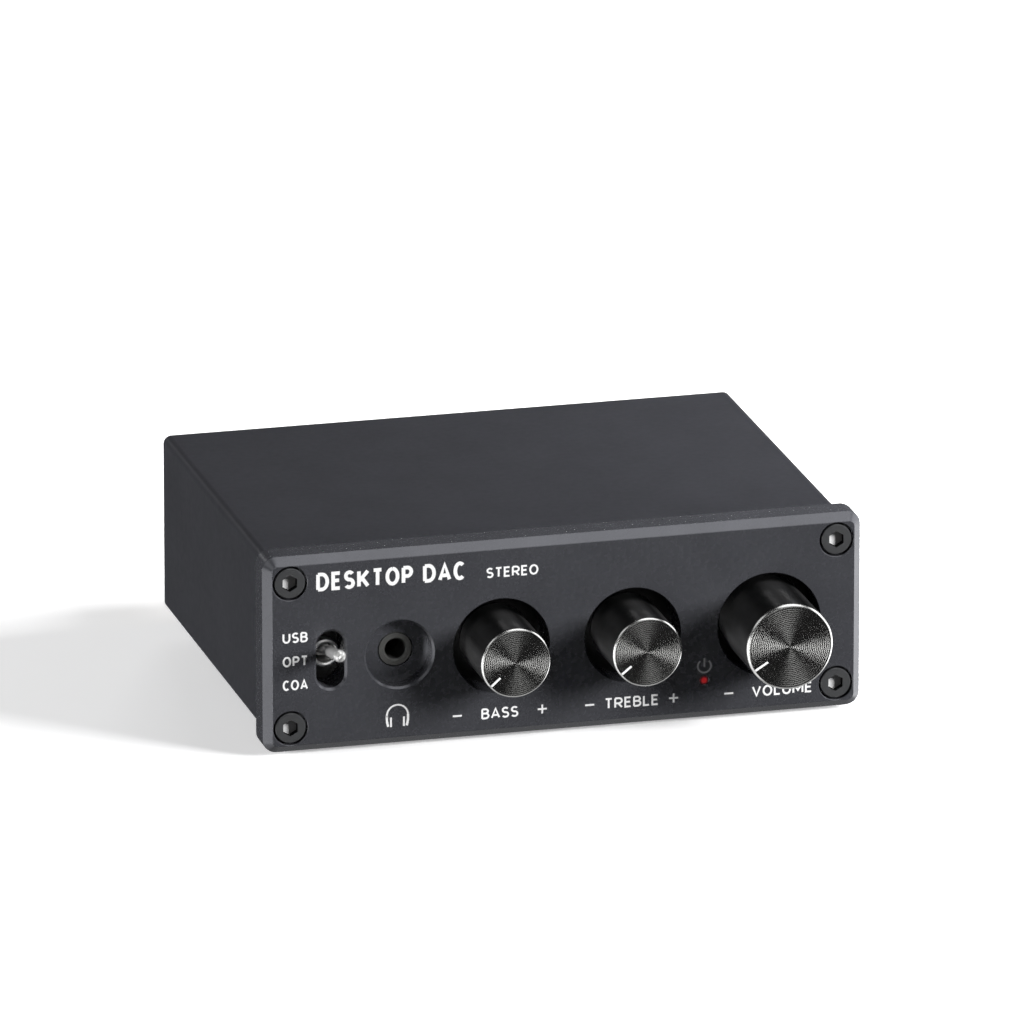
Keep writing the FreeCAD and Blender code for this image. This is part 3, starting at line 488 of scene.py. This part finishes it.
def make_front_screw(number):
    """Socket-head screw: black, with walls painted near-black as shade and a bare floor in its socket.
    """
    node = f"front_screw_{number}"
    low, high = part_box(node)
    middle = centre_of(node)
    radius = (high.x - low.x) / 2 - HEAD_GAP
    rim = 0.09 * MM
    soft = 0.04 * MM
    head_end = low.y + HEAD_LONG
    profile = [
        (0.0, low.y),
        (radius - rim - soft, low.y),
        (radius - rim, low.y + soft / 2),
        (radius - soft / 2, low.y + rim),
        (radius, low.y + rim + soft),
        (radius, head_end),
        (SHANK_RADIUS, head_end),
        (SHANK_RADIUS, high.y),
        (0.0, high.y),
    ]
    mesh = mesh_from(lathe(profile, middle.x, middle.z, segments=72), f"{node}_turned")
    finishes = (BLACK_STEEL, SOCKET_STEEL, SOCKET_PAINTED_SHADE)
    screw = piece(f"{node}_turned", mesh, "chassis", *finishes, slot="black_screw")
    floor = low.y + KEY_DEEP
    key = [(0.0, low.y - MM), (KEY_RADIUS, low.y - MM), (KEY_RADIUS, floor), (0.0, floor)]
    hexagon = lathe(key, middle.x, middle.z, segments=6)
    spin = turn_about(middle, math.pi / 6)
    bmesh.ops.transform(hexagon, matrix=spin, verts=hexagon.verts)
    bmesh.ops.recalc_face_normals(hexagon, faces=hexagon.faces)
    carve(screw, hexagon)
    face_end = low.y + 0.02 * MM
    # The socket's floor is bare; its walls get the painted shade.
    for polygon in screw.data.polygons:
        off_axis = math.hypot(polygon.center.x - middle.x, polygon.center.z - middle.z)
        if abs(polygon.center.y - floor) < 0.01 * MM:
            polygon.material_index = FLOOR_FINISH
        elif off_axis < KEY_RADIUS and face_end < polygon.center.y < floor:
            polygon.material_index = WALL_PAINTED_SHADE
    screw.data.set_sharp_from_angle(angle=math.radians(25))
    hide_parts(node)


def make_toggle_bush():
    """Threaded bush of the source lever, whose front ring rises to a ridge."""
    low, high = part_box("toggle_bush")
    middle = centre_of("toggle_bush")
    radius = (high.x - low.x) / 2
    bore = 1.74 * MM
    ridge = (radius + bore) / 2
    profile = [
        (0.0, low.y + 0.1 * MM),
        (bore, low.y + 0.1 * MM),
        (ridge - 0.03 * MM, low.y),
        (ridge + 0.03 * MM, low.y),
        (radius, low.y + 0.13 * MM),
        (radius, high.y),
        (0.0, high.y),
    ]
    mesh = mesh_from(lathe(profile, middle.x, middle.z, segments=96), "toggle_bush_turned", sharp=10)
    bush = piece("toggle_bush_turned", mesh, "chassis", NICKEL, slot="bright_metal")
    hole = [(0.0, low.y - MM), (bore, low.y - MM), (bore, high.y + MM), (0.0, high.y + MM)]
    cutter = lathe(hole, middle.x, middle.z, segments=96)
    bmesh.ops.recalc_face_normals(cutter, faces=cutter.faces)
    carve(bush, cutter)
    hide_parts("toggle_bush")


# ---------------------------------------------------------------------------------------------
# printing
# ---------------------------------------------------------------------------------------------

INK_THICK = 0.02 * MM
INK_STEP = 0.002 * MM


def ribbon_points(points, half):
    """Both sides of a stroke of constant width along points, with square ends."""
    sides = ([], [])
    last = len(points) - 1
    for index, point in enumerate(points):
        into = Vector(points[max(index, 1)]) - Vector(points[max(index, 1) - 1])
        onward = Vector(points[min(index, last - 1) + 1]) - Vector(points[min(index, last - 1)])
        along = (into.normalized() + onward.normalized()).normalized()
        mitre = half / max(along.dot(onward.normalized()), 0.6)
        across = Vector((-along.y, along.x)) * mitre
        sides[0].append(Vector(point) + across)
        sides[1].append(Vector(point) - across)
    return sides


def strokes(name, lines, half, x, z, material, rear=False):
    """Printed drawing made of strokes, in millimetres about a point on the front or rear plate."""
    shape = bmesh.new()
    side, face = (-1, REAR) if rear else (1, FACE)
    for layer, points in enumerate(lines):
        rows = []
        for depth in (0, INK_THICK + layer * INK_STEP):
            y = face - side * depth
            for edge in ribbon_points(points, half):
                rows.append([
                    shape.verts.new((side * (x + p.x) * MM, y, MIDDLE + (z + p.y) * MM)) for p in edge
                ])
        back_upper, back_lower, upper, lower = rows
        for index in range(len(points) - 1):
            after = index + 1
            shape.faces.new((back_upper[index], back_upper[after], back_lower[after], back_lower[index]))
            shape.faces.new((upper[index], lower[index], lower[after], upper[after]))
            shape.faces.new((back_upper[index], upper[index], upper[after], back_upper[after]))
            shape.faces.new((back_lower[index], back_lower[after], lower[after], lower[index]))
        for index in (0, -1):
            shape.faces.new((back_upper[index], back_lower[index], lower[index], upper[index]))
    return piece(name, mesh_from(shape, name), "chassis", material)


def arc(radius, start, end, x=0.0, z=0.0, tall=None, steps=24):
    """Points of an arc between two angles in degrees, anticlockwise from the right.

    It is part of an oval where its half height, tall, differs from its radius.
    """
    angles = [math.radians(start + (end - start) * step / steps) for step in range(steps + 1)]
    rise = radius if tall is None else tall
    return [(x + radius * math.cos(a), z + rise * math.sin(a)) for a in angles]


STEM = [(0, 0), (0, 1)]
ROUND_HEAD = [(0, 1), *arc(0.5, 90, -90, 0.5, 0.72, 0.28), (0, 0.44)]

# Each letter's width against its height, and its strokes in a box one wide and one high.
LETTERS = {
    " ": (0.3, []),
    "A": (0.72, [[(0, 0), (0.5, 1), (1, 0)], [(0.2, 0.28), (0.8, 0.28)]]),
    "B": (0.64, [
        STEM,
        [(0, 1), *arc(0.42, 90, -90, 0.5, 0.77, 0.23), (0, 0.54)],
        [(0, 0.54), *arc(0.5, 90, -90, 0.5, 0.27, 0.27), (0, 0)],
    ]),
    "C": (0.64, [arc(0.55, 48, 312, 0.55, 0.5, 0.5)]),
    "D": (0.7, [STEM, [(0, 1), *arc(0.6, 90, -90, 0.4, 0.5, 0.5), (0, 0)]]),
    "E": (0.56, [[(1, 1), (0, 1), (0, 0), (1, 0)], [(0, 0.52), (0.9, 0.52)]]),
    "I": (0.24, [[(0.5, 0), (0.5, 1)]]),
    "K": (0.68, [STEM, [(1, 1), (0.06, 0.36)], [(0.34, 0.56), (1, 0)]]),
    "L": (0.54, [[(0, 1), (0, 0), (1, 0)]]),
    "M": (0.86, [STEM, [(0.04, 0.92), (0.5, 0.25), (0.96, 0.92)], [(1, 0), (1, 1)]]),
    "N": (0.72, [STEM, [(0.04, 0.94), (0.96, 0.06)], [(1, 0), (1, 1)]]),
    "O": (0.76, [arc(0.5, 90, 450, 0.5, 0.5, 0.5)]),
    "P": (0.62, [STEM, ROUND_HEAD]),
    "R": (0.66, [STEM, ROUND_HEAD, [(0.5, 0.42), (1, 0)]]),
    "S": (0.6, [
        arc(0.47, 32, 270, 0.5, 0.755, 0.245) + arc(0.5, 90, -148, 0.5, 0.255, 0.255)[1:],
    ]),
    "T": (0.62, [[(0, 1), (1, 1)], [(0.5, 0), (0.5, 1)]]),
    "U": (0.68, [[(0, 1), *arc(0.5, 180, 360, 0.5, 0.38, 0.38), (1, 1)]]),
    "V": (0.72, [[(0, 1), (0.5, 0), (1, 1)]]),
    "X": (0.68, [[(0, 0), (1, 1)], [(0, 1), (1, 0)]]),
}
LETTER_GAP = 0.12


def label(name, words, left, right, low, high, half=0.165, rear=False):
    """Printed word filling a box on the front or rear plate, in millimetres from its middle."""
    widths = [LETTERS[letter][0] for letter in words]
    scale = (right - left) / (sum(widths) + LETTER_GAP * (len(words) - 1))
    tall = high - low - 2 * half
    lines = []
    start = half
    for letter, width in zip(words, widths):
        wide = width * scale - 2 * half
        lines += [[(start + u * wide, half + v * tall) for u, v in line] for line in LETTERS[letter][1]]
        start += (width + LETTER_GAP) * scale
    return strokes(name, lines, half, left, low, WHITE_INK, rear)


# Each word's left, right, low and high edge, in millimetres from the middle of the front plate.
FRONT_WORDS = {
    "usb": ("USB", -49.3, -44.9, 2.3, 4.15),
    "opt": ("OPT", -49.3, -44.9, -1.9, -0.05),
    "coa": ("COA", -49.3, -44.9, -6.1, -4.25),
    "bass": ("BASS", -14.6, -8.1, -14.1, -12.15),
    "treble": ("TREBLE", 7.1, 16.6, -14.1, -12.15),
    "volume": ("VOLUME", 33.1, 43.75, -14.1, -12.15),
}
LESS_SIGNS = {"bass": -18.8, "treble": 4.45, "volume": 29.0}
MORE_SIGNS = {"bass": -3.9, "treble": 19.25}
SIGN_HEIGHT = -13.1
SIGN_HALF = 0.16


def print_front():
    label("print_maker", "DESKTOP DAC", -43.4, -17.4, 11.1, 14.4, half=0.32)
    label("print_kind", "STEREO", -13.7, -4.6, 11.0, 12.85, half=0.16)
    for name, (words, *edges) in FRONT_WORDS.items():
        label(f"print_{name}", words, *edges)
    level = [(-0.8, 0), (0.8, 0)]
    upright = [(0, -0.8), (0, 0.8)]
    for name, x in LESS_SIGNS.items():
        strokes(f"print_{name}_less", [level], SIGN_HALF, x, SIGN_HEIGHT, WHITE_INK)
    for name, x in MORE_SIGNS.items():
        strokes(f"print_{name}_more", [level, upright], SIGN_HALF, x, SIGN_HEIGHT, WHITE_INK)
    band = arc(1.85, -8, 188, z=0.05)
    strokes("print_headphones", [band], 0.155, -29.3, -12.1, WHITE_INK)
    pads = [[(side * 1.13, -0.28), (side * 1.13, -1.98)] for side in (-1, 1)]
    cups = [
        [(side * 1.86, 0.1), (side * 1.84, -0.9), (side * 1.72, -1.5), (side * 1.6, -1.9)]
        for side in (-1, 1)
    ]
    strokes("print_headphone_pads", pads, 0.16, -29.3, -12.1, WHITE_INK)
    strokes("print_headphone_cups", cups, 0.2, -29.3, -12.1, WHITE_INK)
    ring = arc(1.17, 128, 408)
    strokes("print_power", [ring, [(0, -0.15), (0, 1.4)]], 0.15, 24.67, -7.83, GREY_INK)


def print_rear():
    """Words over each socket of the rear plate."""
    words = {
        "line_left": ("L", 1.6, 8.2),
        "line_right": ("R", 1.6, 8.2),
        "coax_input": ("COAX", 7.0, 8.2),
        "optical": ("OPTICAL", 10.0, 1.0),
        "usb": ("USB", 5.4, 2.0),
        "power": ("DC IN", 7.6, 2.2),
    }
    nodes = {"optical": "optical_body", "usb": "usb_shell", "power": "power_housing"}
    for name, (word, wide, low) in words.items():
        x = -centre_of(nodes.get(name, f"{name}_shell")).x / MM
        label(f"print_rear_{name}", word, x - wide / 2, x + wide / 2, low, low + 1.8, rear=True)
    left = -centre_of("line_left_shell").x / MM
    right = -centre_of("line_right_shell").x / MM
    middle = (left + right) / 2
    label("print_rear_output", "LINE OUT", middle - 5.5, middle + 5.5, -9.6, -7.8, rear=True)


# ---------------------------------------------------------------------------------------------
# floor, light and camera
# ---------------------------------------------------------------------------------------------

VIEW_YAW = math.radians(14.87)
VIEW_PITCH = math.radians(17.6)
VIEW_DISTANCE = 2.6255
VIEW_RIGHT = -8.9 * MM
VIEW_UP = 20.66 * MM
LENS = 544.0
SENSOR = 36.0


def make_floor():
    shape = bmesh.new()
    bmesh.ops.create_grid(shape, x_segments=1, y_segments=1, size=6)
    made = bpy.data.objects.new("floor", mesh_from(shape, "floor"))
    bpy.context.scene.collection.objects.link(made)
    paper = Shader("floor_paper", (0.93, 0.93, 0.935), 0.9, Specular_IOR_Level=0.0)
    paper.vary_color(paper.noise(0.4), (0.925, 0.925, 0.93), (0.935, 0.935, 0.94))
    paper.shader.inputs["Emission Color"].default_value = (1, 1, 1, 1)
    paper.shader.inputs["Emission Strength"].default_value = 0.3
    made.data.materials.append(paper.material)
    made.visible_glossy = False
    made.visible_diffuse = False


def area_light(name, place, size, power):
    """Soft light at a place, pointing at the object; reflections come from the studio instead."""
    data = bpy.data.lights.new(name, "AREA")
    data.shape = "RECTANGLE"
    data.size, data.size_y = size
    data.energy = power
    made = bpy.data.objects.new(name, data)
    bpy.context.scene.collection.objects.link(made)
    made.location = place
    made.rotation_mode = "QUATERNION"
    made.rotation_quaternion = (Vector((0, 0, MIDDLE)) - Vector(place)).to_track_quat("-Z", "Y")
    made.visible_glossy = False


class Studio:
    """World whose soft boxes are seen in reflections, over an even light for everything else."""

    def __init__(self):
        world = bpy.data.worlds.new("studio")
        bpy.context.scene.world = world
        world.use_nodes = True
        world.cycles.sampling_method = "NONE"
        self.tree = world.node_tree
        self.direction = self.tree.nodes.new("ShaderNodeTexCoord").outputs["Generated"]
        self.glow = None

    def combine(self, operation, first, second):
        """Two sockets or numbers joined by one operation."""
        made = self.tree.nodes.new("ShaderNodeMath")
        made.operation = operation
        for socket, value in zip(made.inputs, (first, second)):
            if isinstance(value, (int, float)):
                socket.default_value = value
            else:
                self.tree.links.new(value, socket)
        return made.outputs[0]

    def soft_box(self, toward, core, edge, strength):
        """Round glow in a direction: full inside the core angle and gone past the edge angle."""
        dot = self.tree.nodes.new("ShaderNodeVectorMath")
        dot.operation = "DOT_PRODUCT"
        dot.inputs[1].default_value = toward
        self.tree.links.new(self.direction, dot.inputs[0])
        fade = self.tree.nodes.new("ShaderNodeMapRange")
        fade.interpolation_type = "SMOOTHSTEP"
        fade.inputs["From Min"].default_value = math.cos(math.radians(edge))
        fade.inputs["From Max"].default_value = math.cos(math.radians(core))
        fade.inputs["To Max"].default_value = strength
        self.tree.links.new(dot.outputs["Value"], fade.inputs["Value"])
        light = fade.outputs["Result"]
        self.glow = light if self.glow is None else self.combine("ADD", self.glow, light)

    def finish(self, backdrop, even, dim):
        """Backdrop for the camera, even light for matt surfaces, dim walls between the soft boxes."""
        path = self.tree.nodes.new("ShaderNodeLightPath")
        mirrored = self.combine("ADD", self.glow, dim)
        glossy = self.combine("MULTIPLY", mirrored, path.outputs["Is Glossy Ray"])
        matt = self.combine("MULTIPLY", path.outputs["Is Diffuse Ray"], even)
        seen = self.combine("MULTIPLY", path.outputs["Is Camera Ray"], backdrop)
        total = self.combine("ADD", self.combine("ADD", glossy, matt), seen)
        self.tree.links.new(total, self.tree.nodes["Background"].inputs["Strength"])
        self.tree.nodes["Background"].inputs["Color"].default_value = (1, 1, 1, 1)


def view_axes():
    """Directions of the camera's right, up and forward."""
    forward = Vector((
        math.sin(VIEW_YAW) * math.cos(VIEW_PITCH),
        math.cos(VIEW_YAW) * math.cos(VIEW_PITCH),
        -math.sin(VIEW_PITCH),
    ))
    right = Vector((math.cos(VIEW_YAW), -math.sin(VIEW_YAW), 0))
    return right, right.cross(forward), forward


def glint(turn, tilt):
    """Where light comes from that a surface facing forward glints with, once it is tilted.

    The tilt is away from the front, towards an angle counted from the right.
    """
    around = math.radians(turn)
    lean = math.radians(tilt)
    normal = Vector((
        math.sin(lean) * math.cos(around), -math.cos(lean), math.sin(lean) * math.sin(around),
    ))
    return view_axes()[2].reflect(normal)


# What is seen in each soft box: its turn and tilt for glint, core and edge angles, and strength.
SOFT_BOXES = (
    (171, 16, 6, 14, 7.5),  # left and right fans of the knob faces
    (100, 16, 9, 17, 1.7),  # upper and lower fans
    (180, 43, 14, 28, 1.7),  # left bevel
    (138, 45, 8, 22, 0.7),  # upper left corner
    (88, 45, 14, 28, 1.45),  # top bevel
    (44, 45, 16, 24, 1.7),  # upper right corner and the knobs' rims
    (0, 45, 14, 28, 2.2),  # right bevel
    (-70, 45, 30, 50, 0.4),  # bottom bevel
    (-150, 45, 14, 30, 0.8),  # lower left corner
    (134, 90, 2, 6, 1.0),  # the case's upper left edge
    (104, 66, 3, 7, 6.0),  # streaks along the top of the knobs' sides
    (84, 66, 2.5, 6, 8.0),
    (174, 66, 4, 9, 5.0),  # streaks along the left of the knobs' sides
    (197, 66, 2.5, 6, 5.0),
)

# Each lamp's place, width and height, and power.
LAMPS = {
    "key": ((0.90, -0.70, 0.40), (0.4, 0.4), 29),
    "overhead": ((0.16, 0.02, 0.16), (0.08, 0.08), 0.72),
    "left_fill": ((-1.1, 0.0, 0.25), (0.4, 0.3), 16),
    "rear_fill": ((0.30, 1.20, 0.14), (0.4, 0.3), 14),
}


def make_light():
    studio = Studio()
    for turn, tilt, core, edge, strength in SOFT_BOXES:
        studio.soft_box(glint(turn, tilt), core, edge, strength)
    studio.finish(backdrop=1.0, even=0.065, dim=0.022)
    for name, (place, size, power) in LAMPS.items():
        area_light(name, place, size, power)


def make_camera():
    right, up, forward = view_axes()
    data = bpy.data.cameras.new("camera")
    data.lens = LENS
    data.sensor_width = SENSOR
    data.clip_start = 0.1
    data.clip_end = 20
    made = bpy.data.objects.new("camera", data)
    bpy.context.scene.collection.objects.link(made)
    target = Vector((0, FACE, MIDDLE)) + right * VIEW_RIGHT + up * VIEW_UP
    made.location = target - forward * VIEW_DISTANCE
    made.rotation_euler = (math.pi / 2 - VIEW_PITCH, 0, -VIEW_YAW)
    bpy.context.scene.camera = made


make_camera()
make_floor()
make_light()
dress_cad_nodes()
make_knob("bass", 0.29 * MM, 0.014 * MM, 2.2 * MM, -131)
make_knob("treble", 0.29 * MM, 0.014 * MM, 2.2 * MM, -128)
make_knob("volume", 0.38 * MM, 0.02 * MM, 2.7 * MM, -121.5)
for corner in (1, 2, 3, 4):
    make_front_screw(corner)
make_toggle_bush()
print_front()
print_rear()
bpy.context.scene.view_settings.view_transform = "Standard"
